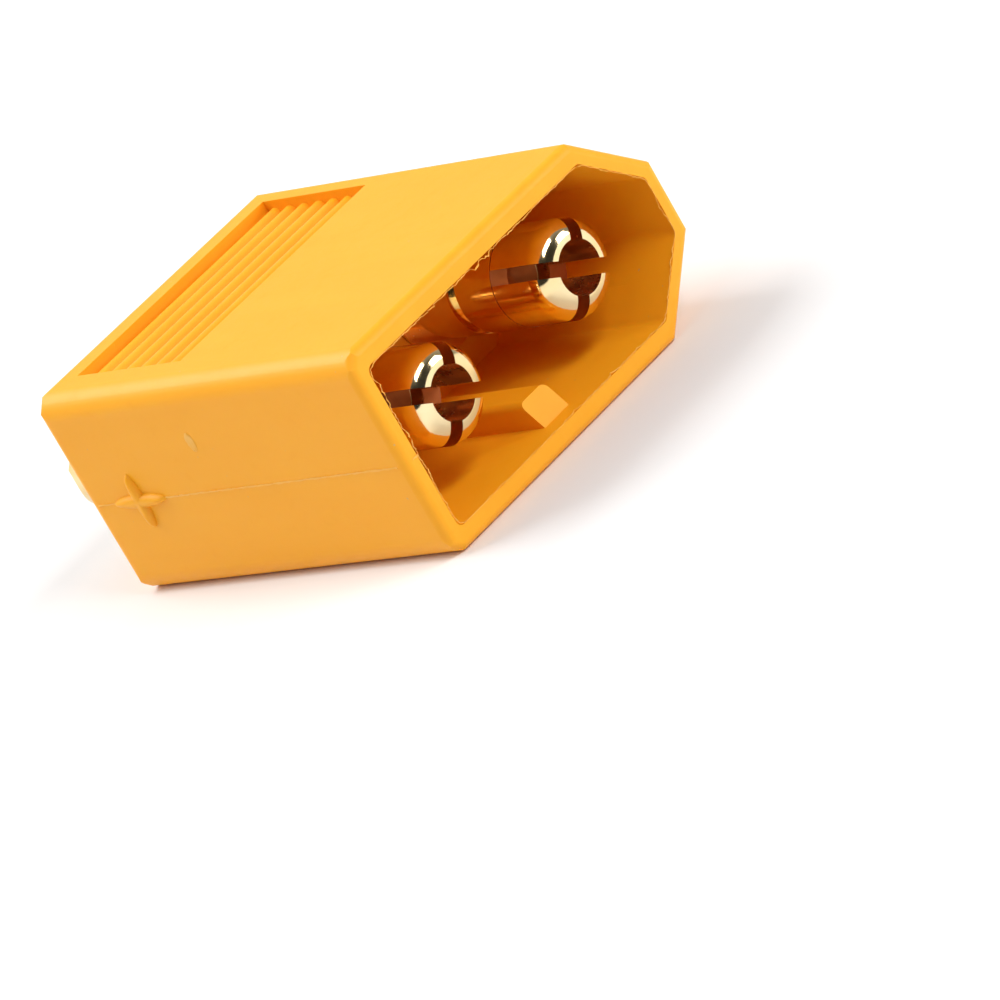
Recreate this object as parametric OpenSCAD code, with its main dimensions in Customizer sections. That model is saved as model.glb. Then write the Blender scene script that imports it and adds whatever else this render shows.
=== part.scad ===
// Shrouded half of a two-pole battery lead connector.
// A moulded housing holds two turned contacts. Each contact is one piece: a split pin in the
// open shroud, a barrel with a locking flange inside the block, and a solder cup at the rear.
// +X is the bevelled (negative) side, -Y is the mating end and +Z is up. Millimetres.

/* [Housing] */
// Width of the housing, across the two contacts
body_w = 15.9; // [15:0.1:18]
// Height of the housing
body_h = 8.1; // [7.7:0.1:10]
// Length of the housing, from the mating rim to the rear face
body_l = 16.4; // [15:0.1:20]
// Bevel of the negative side, measured along the width
bevel_w = 2.9; // [1.5:0.1:3.2]
// Bevel of the negative side, measured along the height
bevel_h = 2.65; // [1.5:0.05:3]
// Round on the long edges of the square side
square_edge_r = 0.8; // [0.4:0.1:1.4]
// Round on the long edges of the bevelled side
bevel_edge_r = 0.45; // [0.3:0.05:0.8]
// Round on the edges of the mating rim and the rear face
end_edge_r = 0.35; // [0.1:0.05:0.45]

/* [Shroud] */
// Depth of the shroud, from the rim to its floor
cavity_d = 8.6; // [7.5:0.1:9.4]
// Thickness of the two wide walls
wall_h = 0.8; // [0.6:0.05:1.1]
// Thickness of the two narrow walls
wall_w = 0.65; // [0.5:0.05:1.1]
// Thickness of the two bevelled walls
wall_bevel = 0.65; // [0.5:0.05:1.1]
// Round in the inner corners
cavity_corner_r = 0.3; // [0.1:0.05:0.5]

/* [Key rib] */
// Width of the rib on the lower wall
key_w = 1.4; // [0.9:0.1:2]
// Height of the rib above the wall
key_h = 1.0; // [0.6:0.1:1.4]
// Middle of the rib, from the middle of the contact pair
key_offset = -0.5; // [-0.8:0.1:0.8]
// Distance from the rim to the foot of the rib's slope
key_setback = 0.85; // [0.3:0.05:2]
// Length of the slope at the rib's front end
key_slope_l = 0.6; // [0.3:0.1:1.5]
// Round on the rib's upper edges
key_edge_r = 0.25; // [0.1:0.05:0.4]

/* [Grip panels] */
// Depth of the sunk panel on each wide face
panel_d = 0.6; // [0.35:0.05:0.8]
// Margin from the rear face to the panel
panel_rear = 1.1; // [0.8:0.1:1.8]
// Margin from the shroud's floor to the panel
panel_front = 1.2; // [0.8:0.1:1.8]
// Margin from the square side to the panel
panel_square = 1.55; // [1.2:0.05:2.5]
// Margin from the bevel to the panel
panel_bevel = 0.65; // [0.4:0.05:2]
// Distance between the half-round grip ribs
rib_pitch = 0.78; // [0.6:0.02:1.4]
// Width of a grip rib
rib_w = 0.6; // [0.3:0.02:0.6]

/* [Pins] */
// Distance between the two contacts
pitch = 7.5; // [6.8:0.1:7.8]
// Place of the contact pair's middle, from the housing's middle
pair_shift = -0.1; // [-0.3:0.05:0.3]
// Diameter of a pin
pin_d = 3.6; // [3.2:0.05:4]
// Distance from the rim to a pin's tip
pin_setback = 1.0; // [0.3:0.1:2]
// Round on the edge of a pin's tip
tip_r = 0.75; // [0.3:0.05:0.8]
// Diameter of the bore in a pin's tip
tip_bore_d = 2.0; // [1.2:0.05:2.1]
// Width of the two crossed slots
slot_w = 0.55; // [0.3:0.05:0.65]
// Length of the slots, from the tip
slot_l = 2.6; // [1.5:0.1:3.4]
// How far the tip's bore goes on past the ends of the slots
bore_past_l = 0.6; // [0.2:0.1:0.8]
// Turn of the crossed slots about the pin
slot_turn = 30; // [0:5:45]
// Distance from the tip to the turned groove
groove_at = 4.5; // [3.8:0.1:5]
// Length of the turned groove
groove_l = 0.45; // [0.2:0.05:0.8]
// Diameter at the bottom of the groove
groove_d = 3.1; // [2.6:0.05:3.15]

/* [Barrels] */
// Diameter of a barrel, inside the block and around the solder cup
barrel_d = 4.4; // [4.2:0.05:4.8]
// Length of a barrel that stands proud of the shroud's floor
barrel_proud = 0.15; // [0:0.05:0.4]
// Diameter of the locking flange inside the block
flange_d = 5.2; // [5:0.05:5.6]
// Length of the locking flange
flange_l = 1.0; // [0.5:0.1:1.4]
// Distance from the shroud's floor to the locking flange
flange_at = 2.6; // [1.5:0.1:3]
// Gap between a barrel and the block, on the radius
seat_gap = 0.02; // [0.01:0.01:0.08]

/* [Solder cups] */
// Length of a solder cup behind the rear face
tail_l = 3.9; // [3.3:0.1:5]
// Bore of a solder cup
cup_bore_d = 3.2; // [2.6:0.05:3.6]
// Depth of a solder cup's bore, in front of the rear face
cup_bore_in = 1.5; // [0.5:0.1:2]
// Length of the closed ring behind the rear face
cup_ring_l = 1.1; // [0.5:0.1:1.6]
// Height that the slanting cut leaves at the end of a cup
cup_lip_h = 0.9; // [0.7:0.05:1.4]
// Round at the end of a cup, seen from above
cup_end_r = 2.6; // [2.5:0.1:3.5]

/* [Hidden] */
$fn = 64;

plastic = [0.98, 0.66, 0.12];
gold = [0.86, 0.68, 0.27];

front_y = -(body_l + tail_l) / 2;
rear_y = front_y + body_l;
floor_y = front_y + cavity_d;
axis_z = body_h / 2;
far = body_w + body_l;
over = 1;
drill_angle = 59;

// ---- outlines with true round corners ----

function unit(v) = v / norm(v);

// Corner i of a convex outline: the centre of its round, and where the round meets each side
function corner(p, r, i) =
    let (n = len(p), u = unit(p[(i + n - 1) % n] - p[i]), v = unit(p[(i + 1) % n] - p[i]),
         half = acos(u * v) / 2)
    [p[i] + r[i] / sin(half) * unit(u + v), p[i] + r[i] / tan(half) * u, p[i] + r[i] / tan(half) * v];

// A convex outline whose corners have their own radii
module rounded(p, r) {
    corners = [for (i = [0 : len(p) - 1]) corner(p, r, i)];
    polygon([for (c = corners) for (j = [1, 2]) c[j]]);
    for (i = [0 : len(p) - 1]) translate(corners[i][0]) circle(r[i]);
}

// A rectangle with all its corners round
module rounded_box(low, high, r) {
    rounded([low, [high[0], low[1]], high, [low[0], high[1]]], [r, r, r, r]);
}

// Extrude an outline drawn as (x, z) from y0 to y1
module along_y(y0, y1) translate([0, y1, 0]) rotate([90, 0, 0]) linear_extrude(y1 - y0) children();

// Extrude an outline drawn as (y, z) from x0 to x1
module along_x(x0, x1) translate([x0, 0, 0]) rotate([90, 0, 90]) linear_extrude(x1 - x0) children();

// ---- housing ----

// The six-sided section, with each wall moved in by its own thickness. The bevel's wall is
// measured square to the bevel.
function section(in_w, in_h, in_bevel) =
    let (n = unit([bevel_h, bevel_w]),
         reach = n * [body_w / 2, body_h - bevel_h] - in_bevel,
         right = body_w / 2 - in_w, left = -right, top = body_h - in_h,
         x_top = (reach - n[1] * top) / n[0], z_right = (reach - n[0] * right) / n[1])
    [[left, body_h - top], [x_top, body_h - top], [right, body_h - z_right],
     [right, z_right], [x_top, top], [left, top]];

outer = section(0, 0, 0);
outer_r = [square_edge_r, bevel_edge_r, bevel_edge_r, bevel_edge_r, bevel_edge_r, square_edge_r];
inner = section(wall_w, wall_h, wall_bevel);
inner_r = [for (p = inner) cavity_corner_r];

// How far the outer section reaches in the direction of an angle
function reach(a) =
    max([for (i = [0 : len(outer) - 1]) corner(outer, outer_r, i)[0] * [cos(a), sin(a)] + outer_r[i]]);

// Directions that each side faces, and those halfway round the two square corners
bevel_a = atan2(bevel_w, bevel_h);
facings = [0, bevel_a, 90, 135, 180, 225, 270, -bevel_a];

// The block's outer skin: the section run out to full length, with round end edges
module skin() {
    intersection() {
        along_y(front_y, rear_y) rounded(outer, outer_r);
        intersection_for (a = facings)
            rotate([0, -a, 0]) translate([0, 0, -far]) linear_extrude(2 * far)
                rounded_box([-far, front_y], [reach(a), rear_y], end_edge_r);
    }
}

module cavity() {
    along_y(front_y - over, floor_y) rounded(inner, inner_r);
}

// Rib that keys the mating half, with a sloping front end
module key_rib() {
    x = pair_shift + key_offset;
    foot = front_y + key_setback;
    top = wall_h + key_h;
    sunk = wall_h / 2;
    intersection() {
        along_y(front_y, floor_y + over)
            rounded_box([x - key_w / 2, -key_edge_r], [x + key_w / 2, top], key_edge_r);
        along_x(x - key_w, x + key_w)
            polygon([[foot - key_slope_l * (wall_h - sunk) / key_h, sunk], [floor_y + over, sunk],
                     [floor_y + over, top], [foot + key_slope_l, top]]);
    }
}

// Room of one sunk panel in the upper face: its floor keeps half-round ribs across the width
module panel_room() {
    y0 = floor_y + panel_front;
    panel_l = rear_y - panel_rear - y0;
    ribs = floor(panel_l / rib_pitch);
    floor_z = body_h - panel_d;
    along_x(-body_w / 2 + panel_square, body_w / 2 - bevel_w - panel_bevel) difference() {
        translate([y0, floor_z]) square([panel_l, panel_d + over]);
        for (i = [0 : ribs - 1])
            translate([y0 + panel_l / 2 + (i - (ribs - 1) / 2) * rib_pitch, floor_z]) circle(rib_w / 2);
    }
}

// Put children on a contact's axis: their +z runs from the rim towards the rear
module on_axis(side) {
    translate([pair_shift + side * pitch / 2, front_y, axis_z]) rotate([-90, 0, 0]) children();
}

// Room for a barrel and its locking flange
module contact_room() {
    translate([0, 0, cavity_d - over]) cylinder(d = barrel_d + 2 * seat_gap, h = body_l - cavity_d + 2 * over);
    translate([0, 0, cavity_d + flange_at]) cylinder(d = flange_d + 2 * seat_gap, h = flange_l);
}

module housing() {
    color(plastic) difference() {
        union() {
            difference() {
                skin();
                cavity();
            }
            key_rib();
        }
        panel_room();
        translate([0, 0, body_h]) mirror([0, 0, 1]) panel_room();
        for (side = [-1, 1]) on_axis(side) contact_room();
    }
}

// ---- contacts ----

// Half section of the turned contact, as (radius, distance from the rim)
module turned_section() {
    tip = pin_setback;
    groove = tip + groove_at;
    shoulder = cavity_d - barrel_proud;
    translate([0, tip]) square([pin_d / 2 - tip_r, shoulder - tip]);
    translate([pin_d / 2 - tip_r, tip + tip_r]) circle(tip_r);
    translate([0, tip + tip_r]) square([pin_d / 2, groove - tip - tip_r]);
    translate([0, groove]) square([groove_d / 2, groove_l]);
    translate([0, groove + groove_l]) square([pin_d / 2, shoulder - groove - groove_l]);
    translate([0, shoulder]) square([barrel_d / 2, body_l + tail_l - shoulder]);
    translate([0, cavity_d + flange_at]) square([flange_d / 2, flange_l]);
}

// A drilled hole whose mouth is at z = 0, with a drill point at its far end
module drilled(d, l) {
    translate([0, 0, -over]) cylinder(d = d, h = l + over);
    translate([0, 0, l]) cylinder(d1 = d, d2 = 0, h = d / 2 / tan(drill_angle));
}

// Bore and crossed slots that split the pin's end into four springs
module split_end() {
    translate([0, 0, pin_setback]) {
        drilled(tip_bore_d, slot_l + bore_past_l);
        for (turn = [0, 90])
            rotate([0, 0, slot_turn + turn])
                translate([-pin_d, -slot_w / 2, -over]) cube([2 * pin_d, slot_w, slot_l + over]);
    }
}

// What the solder cup loses: its bore, all above the slanting cut, and the corners of its end.
// The cup opens towards -y.
module cup_room() {
    end = body_l + tail_l;
    ring_end = body_l + cup_ring_l;
    r = barrel_d / 2;
    run = (end - ring_end) / (2 * r - cup_lip_h);
    translate([0, 0, end]) mirror([0, 0, 1]) drilled(cup_bore_d, tail_l + cup_bore_in);
    rotate([0, 90, 0]) translate([0, 0, -r - over]) linear_extrude(2 * (r + over))
        polygon([[-ring_end + over * run, -r - over], [-end - over * run, r - cup_lip_h + over],
                 [-end - over * run, -r - over]]);
    translate([0, r + over, 0]) rotate([90, 0, 0]) linear_extrude(2 * (r + over)) difference() {
        translate([-cup_end_r - over, end - cup_end_r]) square([2 * (cup_end_r + over), cup_end_r + over]);
        translate([0, end - cup_end_r]) circle(cup_end_r);
    }
}

module contact(side, cup_turn) {
    color(gold) on_axis(side) difference() {
        rotate_extrude() intersection() {
            turned_section();
            square([flange_d, body_l + tail_l]);
        }
        split_end();
        rotate([0, 0, cup_turn]) cup_room();
    }
}

// The two solder cups open opposite ways, so that each lead is soldered from its own side
module positive_contact() { contact(-1, 0); }
module negative_contact() { contact(1, 180); }

housing();
positive_contact();
negative_contact();
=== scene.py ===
# %% [markdown]
# # A keyed, shrouded battery lead connector
# This is the half of a two-pole battery connector that carries the pins. A yellow nylon housing
# is moulded round a deep shroud, and two turned, gold plated contacts are pressed into its floor.
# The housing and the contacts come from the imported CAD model, which has their true shapes. This
# lesson adds what a CAD model leaves out: the camera and the light, the marks that the mould
# leaves on the plastic, the raised signs of the poles, and finishes that look like the real ones.

import math

import bmesh
import bpy
from mathutils import Matrix, Vector, noise


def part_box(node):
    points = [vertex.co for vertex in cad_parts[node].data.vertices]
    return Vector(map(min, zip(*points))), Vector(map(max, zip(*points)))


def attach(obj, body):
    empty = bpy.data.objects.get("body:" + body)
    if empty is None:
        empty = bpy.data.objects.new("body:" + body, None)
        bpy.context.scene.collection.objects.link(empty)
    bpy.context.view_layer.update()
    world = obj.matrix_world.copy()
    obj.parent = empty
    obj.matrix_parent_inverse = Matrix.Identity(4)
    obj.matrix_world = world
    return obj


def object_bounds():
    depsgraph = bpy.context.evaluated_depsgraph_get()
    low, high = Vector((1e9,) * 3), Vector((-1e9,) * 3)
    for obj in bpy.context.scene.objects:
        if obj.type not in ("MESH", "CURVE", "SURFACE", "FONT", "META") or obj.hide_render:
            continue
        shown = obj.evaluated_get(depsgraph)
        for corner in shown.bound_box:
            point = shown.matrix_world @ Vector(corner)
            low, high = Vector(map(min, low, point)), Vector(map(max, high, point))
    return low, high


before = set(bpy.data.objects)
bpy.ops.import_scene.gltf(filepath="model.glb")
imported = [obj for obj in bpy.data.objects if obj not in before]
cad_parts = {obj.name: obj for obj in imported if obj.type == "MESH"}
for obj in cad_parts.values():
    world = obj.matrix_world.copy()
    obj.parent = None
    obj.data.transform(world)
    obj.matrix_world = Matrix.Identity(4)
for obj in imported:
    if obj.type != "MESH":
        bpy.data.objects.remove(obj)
cad_low, cad_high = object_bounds()
MM = 0.001

print("nodes:", ", ".join(sorted(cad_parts)))
print("size in mm:", [round((b - a) / MM, 2) for a, b in zip(cad_low, cad_high)])

# %% [markdown]
# ## Places
# Every new piece takes its place from the housing's own box, so nothing has to be fitted by
# eye. The mating end looks along -Y, the pins lie along Y, and the positive pole is on the -X side.
# The mould opened just under half height, and that is where its parting line and the signs sit.

# %% Read the places off the housing
body_low, body_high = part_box("housing")
LEFT, RIGHT = body_low.x, body_high.x
RIM, REAR = body_low.y, body_high.y
HALF_HEIGHT = (body_low.z + body_high.z) / 2
SEAM_HEIGHT = HALF_HEIGHT - 0.27 * MM
pin_axis = {
    node: (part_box(node)[0].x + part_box(node)[1].x) / 2
    for node in ("positive_contact", "negative_contact")
}

print("sides at", round(LEFT / MM, 2), round(RIGHT / MM, 2), "rim at", round(RIM / MM, 2))
print("pin axes at", {node: round(x / MM, 2) for node, x in pin_axis.items()})

# %% [markdown]
# ## Camera
# A long lens from almost a third of a metre keeps the edges of such a small object nearly
# parallel. The camera looks at the mouth from the positive side, a little from above. It is also
# tipped about its own line of sight, so the connector seems to stand up on a corner although it
# lies flat.

# %% Set up the camera
CAMERA_AZIMUTH, CAMERA_ELEVATION, CAMERA_ROLL = -38.41, 19.82, -30.07
CAMERA_DISTANCE = 287.8 * MM
CAMERA_TARGET = Vector((0.24, -3.28, -2.67)) * MM


def towards(azimuth, elevation):
    """Unit vector from the connector to whatever stands at these angles, in degrees."""
    a, e = math.radians(azimuth), math.radians(elevation)
    return Vector((math.sin(a) * math.cos(e), -math.cos(a) * math.cos(e), math.sin(e)))


def facing(direction, roll=0.0):
    """Turn of a camera or a lamp that stands in this direction and looks back at the connector."""
    look = (-direction).to_track_quat("-Z", "Y").to_matrix()
    return (look @ Matrix.Rotation(math.radians(roll), 3, "Z")).to_euler()


camera_side = towards(CAMERA_AZIMUTH, CAMERA_ELEVATION)
bpy.ops.object.camera_add(
    location=CAMERA_TARGET + camera_side * CAMERA_DISTANCE,
    rotation=facing(camera_side, CAMERA_ROLL),
)
camera = bpy.context.object
camera.name = "camera"
camera.data.lens = 300
camera.data.sensor_width = 36
camera.data.clip_start, camera.data.clip_end = 0.01, 20
bpy.context.scene.camera = camera

print("camera at", [round(c / MM, 1) for c in camera.location], "mm")

# %% [markdown]
# ## Helpers for modelling
# Blender's operators act on what is selected, so two helpers do the selecting. One starts
# each piece with nothing else selected. The other picks points, edges or faces of the piece in
# edit mode by where they are, which is what a hand does with a mouse.

# %% Select and finish


def start_alone():
    """Leaves edit mode and deselects everything, so the next primitive is alone."""
    if bpy.context.mode != "OBJECT":
        bpy.ops.object.mode_set(mode="OBJECT")
    bpy.ops.object.select_all(action="DESELECT")


def edit(piece):
    """Opens one piece in edit mode."""
    start_alone()
    bpy.context.view_layer.objects.active = piece
    piece.select_set(True)
    bpy.ops.object.mode_set(mode="EDIT")


def pick(kind, wanted):
    """Selects the VERT, EDGE or FACE elements that wanted(element) accepts, and counts them."""
    bpy.ops.mesh.select_mode(type=kind)
    bpy.ops.mesh.select_all(action="DESELECT")
    mesh = bmesh.from_edit_mesh(bpy.context.object.data)
    elements = {"VERT": mesh.verts, "EDGE": mesh.edges, "FACE": mesh.faces}[kind]
    chosen = [element for element in elements if wanted(element)]
    for element in chosen:
        element.select_set(True)
    mesh.select_flush_mode()
    bmesh.update_edit_mesh(bpy.context.object.data)
    return len(chosen)


def apply_modifier(piece, kind, **settings):
    """Adds a modifier of this kind, makes its settings and applies it at once."""
    start_alone()
    bpy.context.view_layer.objects.active = piece
    piece.select_set(True)
    modifier = piece.modifiers.new(kind.lower(), kind)
    for name, value in settings.items():
        setattr(modifier, name, value)
    bpy.ops.object.modifier_apply(modifier=modifier.name)


def finish_piece(piece, name, angle=35):
    """Names a piece, puts its place into its mesh, points its faces outwards and lets it ride."""
    start_alone()
    bpy.context.view_layer.objects.active = piece
    piece.select_set(True)
    piece.name = piece.data.name = name
    bpy.ops.object.transform_apply(location=True, rotation=True, scale=True)
    edit(piece)
    bpy.ops.mesh.select_all(action="SELECT")
    bpy.ops.mesh.normals_make_consistent(inside=False)
    start_alone()
    piece.select_set(True)
    bpy.ops.object.shade_smooth_by_angle(angle=math.radians(angle))
    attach(piece, "root")
    check = bmesh.new()
    check.from_mesh(piece.data)
    loose = sum(not e.is_manifold for e in check.edges)
    print(name, "has", len(check.faces), "faces,", loose, "open edges,",
          f"{check.calc_volume() / MM**3:.4f} mm3")
    check.free()
    return piece


# %% [markdown]
# ## Raised signs of the poles
# On the real housing each side carries its pole's sign, near the leads: a plus on the square
# side and a minus on the bevelled side. The toolmaker cut them into the mould with a small
# tapered cutter, so each arm stands proud, is widest in its middle and runs out to a point at
# its ends. A text object would give flat bars with square ends. An ellipse that is extruded a
# few times, and shrunk a little each time, gives the right soft ridge.

# %% Model one arm of a sign
SIGN_FROM_REAR = 2.7 * MM
SIGN_PROUD = 0.23 * MM
ARM_WIDTH = 0.54 * MM
SUNK = 0.05 * MM


def add_arm(side, length, upright):
    """An arm of a sign on the side at x, standing out of it; upright along Z, or lying along Y."""
    out = math.copysign(1, side)
    start_alone()
    bpy.ops.mesh.primitive_circle_add(
        vertices=40, radius=length / 2, fill_type="NGON",
        location=(side - out * SUNK, REAR - SIGN_FROM_REAR, SEAM_HEIGHT),
        rotation=(0, out * math.pi / 2, 0),
    )
    arm = bpy.context.object
    edit(arm)
    bpy.ops.mesh.select_all(action="SELECT")
    slim = ARM_WIDTH / length
    bpy.ops.transform.resize(value=(1, slim, 1) if upright else (1, 1, slim))
    for rise, across, along in ((SUNK, 1.0, 1.0), (0.45 * SIGN_PROUD, 0.88, 0.95),
                                (0.35 * SIGN_PROUD, 0.7, 0.88), (0.2 * SIGN_PROUD, 0.4, 0.75)):
        bpy.ops.mesh.extrude_region_move(TRANSFORM_OT_translate={"value": (out * rise, 0, 0)})
        bpy.ops.transform.resize(value=(1, across, along) if upright else (1, along, across))
    start_alone()
    return arm


plus_upright = add_arm(LEFT, 2.2 * MM, upright=True)
plus_lying = add_arm(LEFT, 2.7 * MM, upright=False)
apply_modifier(plus_upright, "BOOLEAN", operation="UNION", object=plus_lying, solver="EXACT")
bpy.data.objects.remove(plus_lying)
plus_sign = finish_piece(plus_upright, "plus_sign")
minus_sign = finish_piece(add_arm(RIGHT, 2.7 * MM, upright=False), "minus_sign")

# %% [markdown]
# ## Flash round the mouth
# Where two halves of a mould meet, a little plastic creeps between them and freezes to a
# paper thin, ragged fin called flash. Round the mouth it hangs over the inner edge of the rim
# and catches the light as a pale line. It could be drawn with a noisy bump, but its torn outline
# shows against the dark cavity, so it is cut from the housing's own edge: the inner edge is
# copied, filled, inset to a thin ring, torn on its inner side and given a thickness.

# %% Copy the inner edge of the rim
FLASH_LONGEST_EDGE = 0.09 * MM
FLASH_OVERLAP = 0.03 * MM
FLASH_WIDTH = 0.02 * MM
FLASH_THICK = 0.035 * MM
ON_PLANE = 0.002 * MM
SHARP_TURN = math.radians(60)

start_alone()
flash = bpy.data.objects.new("flash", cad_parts["housing"].data.copy())
bpy.context.scene.collection.objects.link(flash)
flash.data.materials.clear()
edit(flash)
bpy.ops.mesh.select_all(action="SELECT")
bpy.ops.mesh.customdata_custom_splitnormals_clear()
bpy.ops.mesh.remove_doubles(threshold=ON_PLANE)


def on_inner_rim(edge):
    """True for an edge in the rim's plane where the rim turns sharply into the cavity."""
    return (all(abs(v.co.y - RIM) < ON_PLANE for v in edge.verts)
            and len(edge.link_faces) == 2 and edge.calc_face_angle() > SHARP_TURN)


rim_edges = pick("EDGE", on_inner_rim)
bpy.ops.mesh.select_all(action="INVERT")
bpy.ops.mesh.delete(type="EDGE")
print("the rim's inner edge has", rim_edges, "edges")

# %% Tear the ring and give it a thickness
HALVINGS = 8
TEAR_DEPTH = 0.16 * MM
WORN, CALM = 1.5, 0.8
RING_STEP = 0.03 * MM

edit(flash)
for _ in range(HALVINGS):
    pick("EDGE", lambda edge: edge.calc_length() > FLASH_LONGEST_EDGE)
    if bpy.context.object.data.total_edge_sel:
        bpy.ops.mesh.subdivide(number_cuts=1)
bpy.ops.mesh.select_all(action="SELECT")
bpy.ops.mesh.edge_face_add()
bpy.ops.mesh.inset(thickness=FLASH_OVERLAP, use_outset=True)
pick("FACE", lambda face: len(face.verts) > 4)
bpy.ops.mesh.inset(thickness=FLASH_WIDTH)
pick("FACE", lambda face: len(face.verts) > 4)
bpy.ops.mesh.delete(type="ONLY_FACE")
mouth = Vector(((LEFT + RIGHT) / 2, RIM, HALF_HEIGHT))
mesh = bmesh.from_edit_mesh(flash.data)
inner = [v for v in mesh.verts if v.is_boundary
         and all((v.co - mouth).length <= (e.other_vert(v).co - mouth).length + RING_STEP
                 for e in v.link_edges if not e.is_boundary)]
for v in inner:
    place = v.co / MM
    tear = 0.5 + 0.5 * noise.noise(place * 2.1) + 0.35 * noise.noise(place * 9.0)
    worst = WORN if v.co.x < 0 and v.co.z > HALF_HEIGHT else CALM
    v.co += (mouth - v.co).normalized() * max(tear, 0.0) ** 2 * worst * TEAR_DEPTH
bmesh.update_edit_mesh(flash.data)
apply_modifier(flash, "SOLIDIFY", thickness=FLASH_THICK, offset=0)
rim_flash = finish_piece(flash, "rim_flash")

# %% [markdown]
# ## Parting line
# The two mould halves met near half height, and the seam left a hair of plastic along each side.
# It is too fine for the CAD model and too regular for a random bump. A long thin bar is set
# halfway into the wall, cut into short lengths, and its outer edge is shaken a little, so that the
# line comes and goes as the real one does.

# %% Model a shaken seam


def add_seam(name, start, end, out, wide=0.06 * MM, proud=0.022 * MM, seed=1):
    """A broken hairline from start to end, half sunk in the wall that faces out."""
    middle, run = (start + end) / 2, end - start
    along = max(range(3), key=lambda i: abs(run[i]))
    size = [wide] * 3
    size[along] = run.length
    size[max(range(3), key=lambda i: abs(out[i]))] = 4 * proud
    start_alone()
    bpy.ops.mesh.primitive_cube_add(size=1, location=middle - out * proud, scale=size)
    seam = bpy.context.object
    bpy.ops.object.transform_apply(location=True, rotation=True, scale=True)
    edit(seam)
    pick("EDGE", lambda e: abs((e.verts[0].co - e.verts[1].co)[along]) > 0.5 * run.length)
    bpy.ops.mesh.subdivide(number_cuts=int(run.length / (0.12 * MM)))
    pick("VERT", lambda v: (v.co - middle).dot(out) > 0)
    bpy.ops.transform.vertex_random(offset=1.1 * proud, uniform=0.4, normal=0.0, seed=seed)
    start_alone()
    return finish_piece(seam, name, angle=60)


LEFT_WALL, RIGHT_WALL, RIM_FACE = Vector((-1, 0, 0)), Vector((1, 0, 0)), Vector((0, -1, 0))
END_GAP = 0.4 * MM
RIM_WIDTH = 0.66 * MM
parting_lines = [
    add_seam("left_parting_line", Vector((LEFT, RIM + END_GAP, SEAM_HEIGHT)),
             Vector((LEFT, REAR - END_GAP, SEAM_HEIGHT)), LEFT_WALL, seed=2),
    add_seam("right_parting_line", Vector((RIGHT, RIM + END_GAP, SEAM_HEIGHT)),
             Vector((RIGHT, REAR - END_GAP, SEAM_HEIGHT)), RIGHT_WALL, seed=5),
    add_seam("rim_parting_line", Vector((LEFT + END_GAP, RIM, SEAM_HEIGHT)),
             Vector((LEFT + RIM_WIDTH, RIM, SEAM_HEIGHT)), RIM_FACE, seed=7),
]

# %% [markdown]
# ## Gate scar
# The molten plastic came in through a small gate in the positive side, and where it was
# snapped off a shallow, rough scar is left. It starts as a disc, gets a sunken middle by insetting,
# and its points are shaken so that it looks broken and not turned.

# %% Model the scar of the gate
SCAR_RADIUS = 0.34 * MM
SCAR_FROM_REAR = 6.85 * MM
SCAR_ABOVE_SEAM = 2.0 * MM
SCAR_PROUD = 0.012 * MM

start_alone()
bpy.ops.mesh.primitive_circle_add(
    vertices=28, radius=SCAR_RADIUS, fill_type="NGON",
    location=(LEFT + SUNK, REAR - SCAR_FROM_REAR, SEAM_HEIGHT + SCAR_ABOVE_SEAM),
    rotation=(0, -math.pi / 2, 0),
)
scar = bpy.context.object
edit(scar)
bpy.ops.mesh.select_all(action="SELECT")
bpy.ops.transform.resize(value=(1, 0.55, 1.15))
bpy.ops.mesh.extrude_region_move(TRANSFORM_OT_translate={"value": (-SUNK - SCAR_PROUD, 0, 0)})
bpy.ops.mesh.inset(thickness=0.05 * MM, depth=0.018 * MM)
bpy.ops.mesh.inset(thickness=0.07 * MM, depth=-0.01 * MM)
bpy.ops.mesh.select_all(action="SELECT")
bpy.ops.transform.vertex_random(offset=0.02 * MM, uniform=0.3, normal=0.0, seed=4)
start_alone()
gate_scar = finish_piece(scar, "gate_scar", angle=50)

# %% [markdown]
# ## Shader sums
# A material is a graph of nodes. Written node by node it is long and hard to follow, so a small
# class wraps a socket. It turns +, - and * into Math nodes, and one method adds any other node.
# Colours and vectors go through Mix and Vector Math nodes, because a Math node has no hue.

# %% A socket that can be reckoned with


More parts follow.
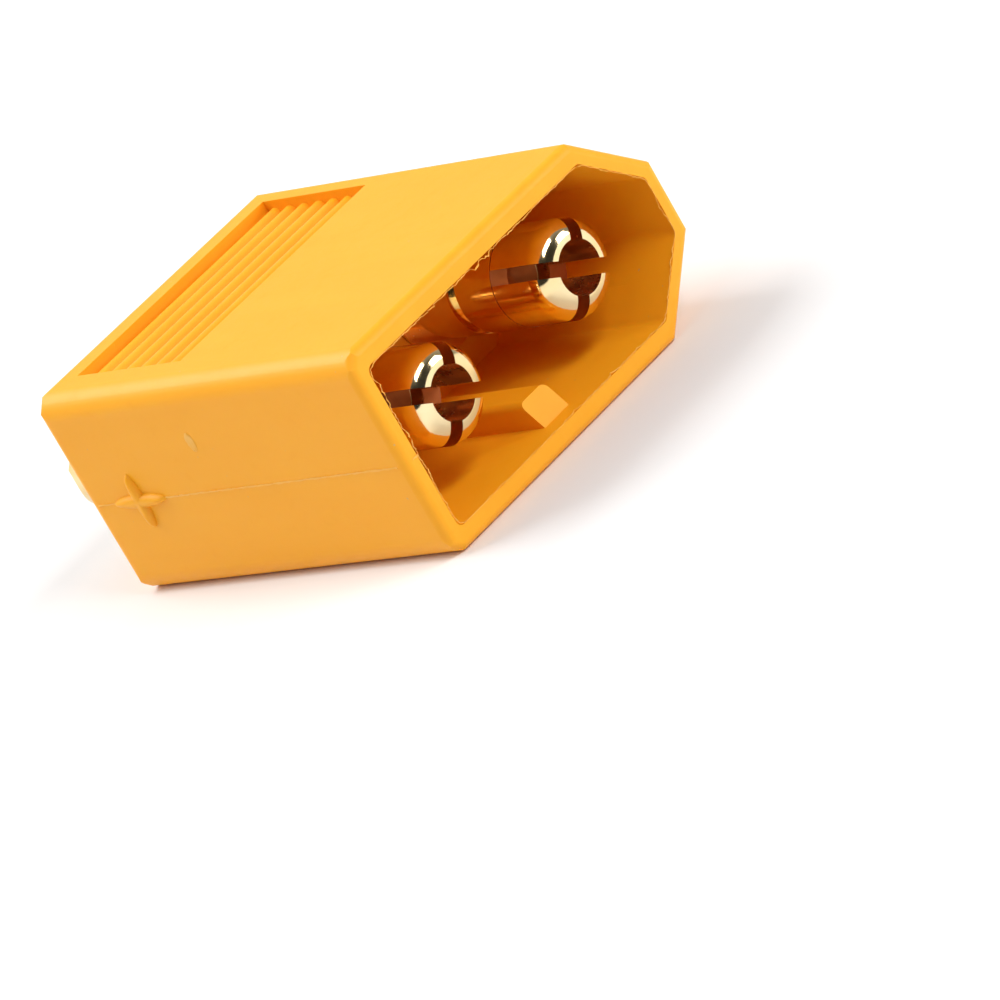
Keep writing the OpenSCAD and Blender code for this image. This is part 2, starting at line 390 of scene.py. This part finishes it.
class Socket:
    """An output socket of a node, or the start of a material, that does sums by adding nodes."""

    def __init__(self, tree, socket=None):
        self.tree, self.socket = tree, socket

    def node(self, kind, settings=None, sockets=None, output=0):
        """Adds a node, makes its settings, fills or links its sockets, and gives one output."""
        made = self.tree.nodes.new(kind)
        for name, value in (settings or {}).items():
            setattr(made, name, value)
        for name, value in (sockets or {}).items():
            if isinstance(value, Socket):
                self.tree.links.new(value.socket, made.inputs[name])
            else:
                made.inputs[name].default_value = value
        return Socket(self.tree, made.outputs[output])

    def math(self, operation, *values):
        return self.node("ShaderNodeMath", {"operation": operation}, dict(enumerate(values)))

    def __add__(self, other):
        return self.math("ADD", self, other)

    def __sub__(self, other):
        return self.math("SUBTRACT", self, other)

    def __rsub__(self, other):
        return self.math("SUBTRACT", other, self)

    def __mul__(self, other):
        return self.math("MULTIPLY", self, other)

    __radd__, __rmul__ = __add__, __mul__

    def between(self, low, high):
        """0 below low, 1 above high, and a smooth step from one to the other."""
        return self.node("ShaderNodeMapRange", {"interpolation_type": "SMOOTHSTEP"},
                         {"Value": self, "From Min": low, "From Max": high})

    def blend(self, first, second):
        """The first colour where this is 0 and the second where it is 1."""
        return self.node("ShaderNodeMix", {"data_type": "RGBA"}, {0: self, 6: first, 7: second}, 2)

    def noise(self, place, size, detail=2.0, roughness=0.5):
        """Smooth random value whose blobs are about size across, in metres."""
        return self.node("ShaderNodeTexNoise", None, {
            "Vector": place, "Scale": 1 / size, "Detail": detail, "Roughness": roughness})

    def bump(self, height, depth):
        """Bends the light as if the surface rose by depth where height is 1."""
        return self.node("ShaderNodeBump", None, {
            "Height": height, "Distance": depth, "Strength": 1.0})


def new_material(name, **constants):
    """A material with its Principled shader, the start for sums, and the piece's own place."""
    material = bpy.data.materials.new(name)
    material.use_nodes = True
    tree = material.node_tree
    shader = next(n for n in tree.nodes if n.type == "BSDF_PRINCIPLED")
    for socket, value in constants.items():
        shader.inputs[socket.replace("_", " ")].default_value = value
    start = Socket(tree)
    return material, shader, start, start.node("ShaderNodeTexCoord", output=3)


def plug(shader, **links):
    """Links sums to the shader's sockets, with _ for each space in a socket's name."""
    for name, value in links.items():
        value.tree.links.new(value.socket, shader.inputs[name.replace("_", " ")])


# %% [markdown]
# ## Moulded nylon
# The housing is nylon dyed a warm golden yellow. Its mould was spark eroded, which leaves a
# fine, even satin grain. Close up the colour isn't flat: the melt carries faint streaks from
# the gate, the bulk is a little uneven, and a few dust specks and hairline scuffs sit on it. Light
# goes a short way into nylon, so corners glow, and inside the shroud it bounces from wall to wall
# and turns a deep red orange by itself.

# %% The housing's plastic
GOLDEN, PALE_GOLDEN = (0.91, 0.385, 0.008, 1), (0.93, 0.415, 0.014, 1)
DEEP_GOLDEN, DUST = (0.85, 0.32, 0.006, 1), (0.55, 0.42, 0.25, 1)
# The torn colours are paler than the housing's. Thin torn plastic is a little paler, and the rest
# is a painted highlight for the pale line on the flash, the seams and the gate scar.
TORN_AND_HIGHLIT, PALE_TORN_AND_HIGHLIT = (0.93, 0.44, 0.05, 1), (0.95, 0.53, 0.13, 1)


def make_nylon(name, base, pale, deep, grain_depth):
    """Satin moulded nylon, with its streaks, mottle, specks, scuffs and spark eroded grain."""
    material, shader, start, place = new_material(
        name, IOR=1.52, Specular_IOR_Level=0.30, Subsurface_Weight=0.12, Subsurface_Scale=0.0006)
    shader.inputs["Subsurface Radius"].default_value = (1.0, 0.45, 0.12)
    streaked = start.node("ShaderNodeMapping", None, {"Vector": place, "Scale": (1.0, 0.18, 1.0)})
    streaks = start.noise(streaked, 1.6 * MM, 3.0, 0.6)
    mottle = start.noise(place, 0.7 * MM, 4.0, 0.65)
    grain = start.noise(place, 0.075 * MM, 2.0, 0.6)
    specks = start.noise(place, 0.22 * MM, 1.0, 0.5).between(0.79, 0.83)
    scuffed = start.node("ShaderNodeMapping", None, {
        "Vector": place, "Rotation": (0.4, 0.2, 0.7), "Scale": (1.0, 0.02, 1.0)})
    scuffs = start.noise(scuffed, 0.11 * MM, 1.0, 0.5).between(0.735, 0.79)
    colour = (streaks.between(0.35, 0.7) * 0.45).blend(base, pale)
    colour = (mottle.between(0.55, 0.8) * 0.25).blend(colour, deep)
    colour = (scuffs * 0.3).blend(colour, pale)
    colour = (specks * 0.5).blend(colour, DUST)
    relief = grain * 0.7 + mottle * 0.9 - scuffs * 0.5
    plug(shader, Base_Color=colour,
         Roughness=0.36 + mottle * 0.12 + grain * 0.08 + scuffs * 0.1 + specks * 0.2,
         Normal=start.bump(relief, grain_depth))
    return material


nylon = make_nylon("golden_nylon", GOLDEN, PALE_GOLDEN, DEEP_GOLDEN, 0.006 * MM)
# The flash, the seams and the gate scar get these paler colours, which are partly a painted
# highlight.
highlit_thin_nylon = make_nylon("thin_torn_nylon_painted_highlight", TORN_AND_HIGHLIT, PALE_TORN_AND_HIGHLIT, GOLDEN, 0.004 * MM)
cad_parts["housing"].material_slots[0].material = nylon
for plastic, pieces in ((nylon, (plus_sign, minus_sign)),
                        (highlit_thin_nylon, (rim_flash, gate_scar, *parting_lines))):
    for piece in pieces:
        piece.data.materials.clear()
        piece.data.materials.append(plastic)

print("nylon has", len(nylon.node_tree.nodes), "nodes")

# %% [markdown]
# ## Gold plated brass
# Each contact is turned from brass rod and plated, first with nickel and then with a hair of
# gold. Plating keeps the lathe's marks: fine rings round the pin's own axis. So the grain is
# not noise in space but noise along two lengths, the way along the pin and the way out from its
# axis. The gold itself varies a little, and fingers leave faint smudges that dull and warm it.
# Plating hardly reaches into the tip's bore and the ends of its slots, so some bare brass is real
# there.
# The dark dull red painted in the bore and in a thin ring round the pin where the slots end is also
# painted shade, which makes the pin look hollow from afar.

# %% The contacts' gold
BORE_RADIUS, SLOT_LENGTH = 1.0 * MM, 2.6 * MM
# This dark dull red is partly bare brass and partly painted shade for the bore and the slot ends.
SHADED_BARE_BRASS = (0.34, 0.065, 0.01, 1)
GOLD, PALE_GOLD, WARM_GOLD = (0.90, 0.66, 0.30, 1), (0.93, 0.76, 0.45, 1), (0.72, 0.43, 0.15, 1)


def make_gold(node, axis_x):
    """Polished plating over lathe rings about this contact's axis, at this x."""
    material, shader, start, place = new_material(
        node.replace("contact", "gold"), Metallic=1.0, Specular_IOR_Level=0.5)
    centred = start.node("ShaderNodeVectorMath", {"operation": "SUBTRACT"},
                         {0: place, 1: (axis_x, 0.0, HALF_HEIGHT)})
    along = start.node("ShaderNodeSeparateXYZ", None, {"Vector": centred}, 1)
    flat = start.node("ShaderNodeVectorMath", {"operation": "MULTIPLY"}, {0: centred, 1: (1, 0, 1)})
    radius = start.node("ShaderNodeVectorMath", {"operation": "LENGTH"}, {0: flat}, 1)
    turned = start.node("ShaderNodeCombineXYZ", None, {"X": along, "Y": radius, "Z": 0.0})
    rings = start.noise(turned, 0.05 * MM, 2.0, 0.7)
    coarse_rings = start.noise(turned, 0.35 * MM, 1.0, 0.5)
    smudges = start.noise(place, 0.9 * MM, 4.0, 0.6).between(0.45, 0.75)
    tint = start.noise(place, 1.7 * MM, 2.0, 0.5).between(0.3, 0.75)
    spots = start.noise(place, 0.16 * MM, 1.0, 0.5).between(0.76, 0.82)
    tip = -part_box(node)[0].y
    # Mask for the painted shade, which is partly real bare brass: the inside of the bore and a thin
    # ring round the pin where the slots end.
    bare_and_shaded = start.math("MAXIMUM", 1 - radius.between(0.96 * BORE_RADIUS, 1.02 * BORE_RADIUS),
                      1 - start.math("ABSOLUTE", along + (tip - SLOT_LENGTH)).between(
                          0.01 * MM, 0.03 * MM))
    in_the_tip = 1 - (along + tip).between(SLOT_LENGTH + 1.2 * MM, SLOT_LENGTH + 1.3 * MM)
    bare_and_shaded = bare_and_shaded * in_the_tip
    colour = tint.blend(GOLD, PALE_GOLD)
    colour = (smudges * 0.25).blend(colour, WARM_GOLD)
    colour = (spots * 0.6).blend(colour, WARM_GOLD)
    colour = (bare_and_shaded * 0.92).blend(colour, SHADED_BARE_BRASS)
    plug(shader, Base_Color=colour,
         Roughness=0.07 + bare_and_shaded * 0.4 + rings * 0.05 + smudges * 0.10 + spots * 0.2,
         Normal=start.bump(rings * 0.6 + coarse_rings, 0.0012 * MM))
    return material


for node, x in pin_axis.items():
    gold = make_gold(node, x)
    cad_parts[node].material_slots[0].material = gold
    print(node, "is plated with", len(gold.node_tree.nodes), "nodes")

# %% [markdown]
# ## Floor
# The connector lies on its lower panel side on a plain, near white sheet. The sheet has a
# trace of paper tooth, so the soft shadow has something to fall on.

# %% The floor
FLOOR_GAP = 0.02 * MM

start_alone()
bpy.ops.mesh.primitive_plane_add(size=6, location=(0, 0, cad_low.z - FLOOR_GAP))
floor = bpy.context.object
floor.name = "floor"
paper, shader, start, place = new_material("white_paper", Specular_IOR_Level=0.2)
tooth = start.noise(place, 1.2 * MM, 3.0, 0.6)
plug(shader, Base_Color=(tooth * 0.25).blend((0.82, 0.82, 0.82, 1), (0.78, 0.78, 0.775, 1)),
     Roughness=0.75 + tooth * 0.1)
floor.data.materials.append(paper)

print("floor lies", FLOOR_GAP / MM, "mm under the housing")

# %% [markdown]
# ## Light
# Polished gold shows nothing but what it reflects, so the lamps are shapes to be seen in it
# as much as light to see by. A broad soft box above and behind lights the top and lets its shadow
# fall towards the mouth. A high one in front shines into the mouth, and a tall one on the front
# right puts the white streak on each pin's nose. A weak one on the left keeps the positive side
# bright. The sky stays dim near the camera, which leaves the dark bands that make gold look like
# metal.

# %% Set up the lamps


def add_lamp(name, azimuth, elevation, distance, width, height, power, colour=(1, 1, 1)):
    """A soft box that looks at the connector from this direction."""
    direction = towards(azimuth, elevation)
    bpy.ops.object.light_add(type="AREA", location=direction * distance, rotation=facing(direction))
    lamp = bpy.context.object
    lamp.name = name
    lamp.data.shape = "RECTANGLE"
    lamp.data.size, lamp.data.size_y = width, height
    lamp.data.energy, lamp.data.color = power, colour
    print(name, "at", [round(c, 2) for c in lamp.location], "m")
    return lamp


add_lamp("top_box", -166, 50, 0.45, 0.34, 0.24, 1.65)
add_lamp("nose_box", 38, 13, 0.40, 0.10, 0.15, 0.52)
add_lamp("front_box", 4, 46, 0.42, 0.22, 0.10, 0.95)
add_lamp("side_box", -84, 44, 0.42, 0.26, 0.12, 0.18, (1, 0.98, 0.95))

world = bpy.data.worlds.new("studio")
world.use_nodes = True
bpy.context.scene.world = world
sky = Socket(world.node_tree)
direction = sky.node("ShaderNodeTexCoord", output=0)
behind = sky.node("ShaderNodeVectorMath", {"operation": "DOT_PRODUCT"},
                  {0: direction, 1: (0.35, 0.90, 0.25)}, 1)
background = next(n for n in world.node_tree.nodes if n.type == "BACKGROUND")
world.node_tree.links.new(
    behind.between(-0.7, 0.7).blend((0.05, 0.05, 0.05, 1), (0.95, 0.95, 0.96, 1)).socket,
    background.inputs["Color"])
background.inputs["Strength"].default_value = 0.7

scene = bpy.context.scene
scene.view_settings.view_transform = "Standard"
scene.view_settings.look = "None"
scene.cycles.max_bounces = 16
scene.cycles.diffuse_bounces = 8
scene.cycles.glossy_bounces = 10

# %% [markdown]
# ## Finish
# The script ends out of edit mode with nothing selected. The dressed model may not
# outgrow the CAD model.

# %% Finish with nothing selected
start_alone()
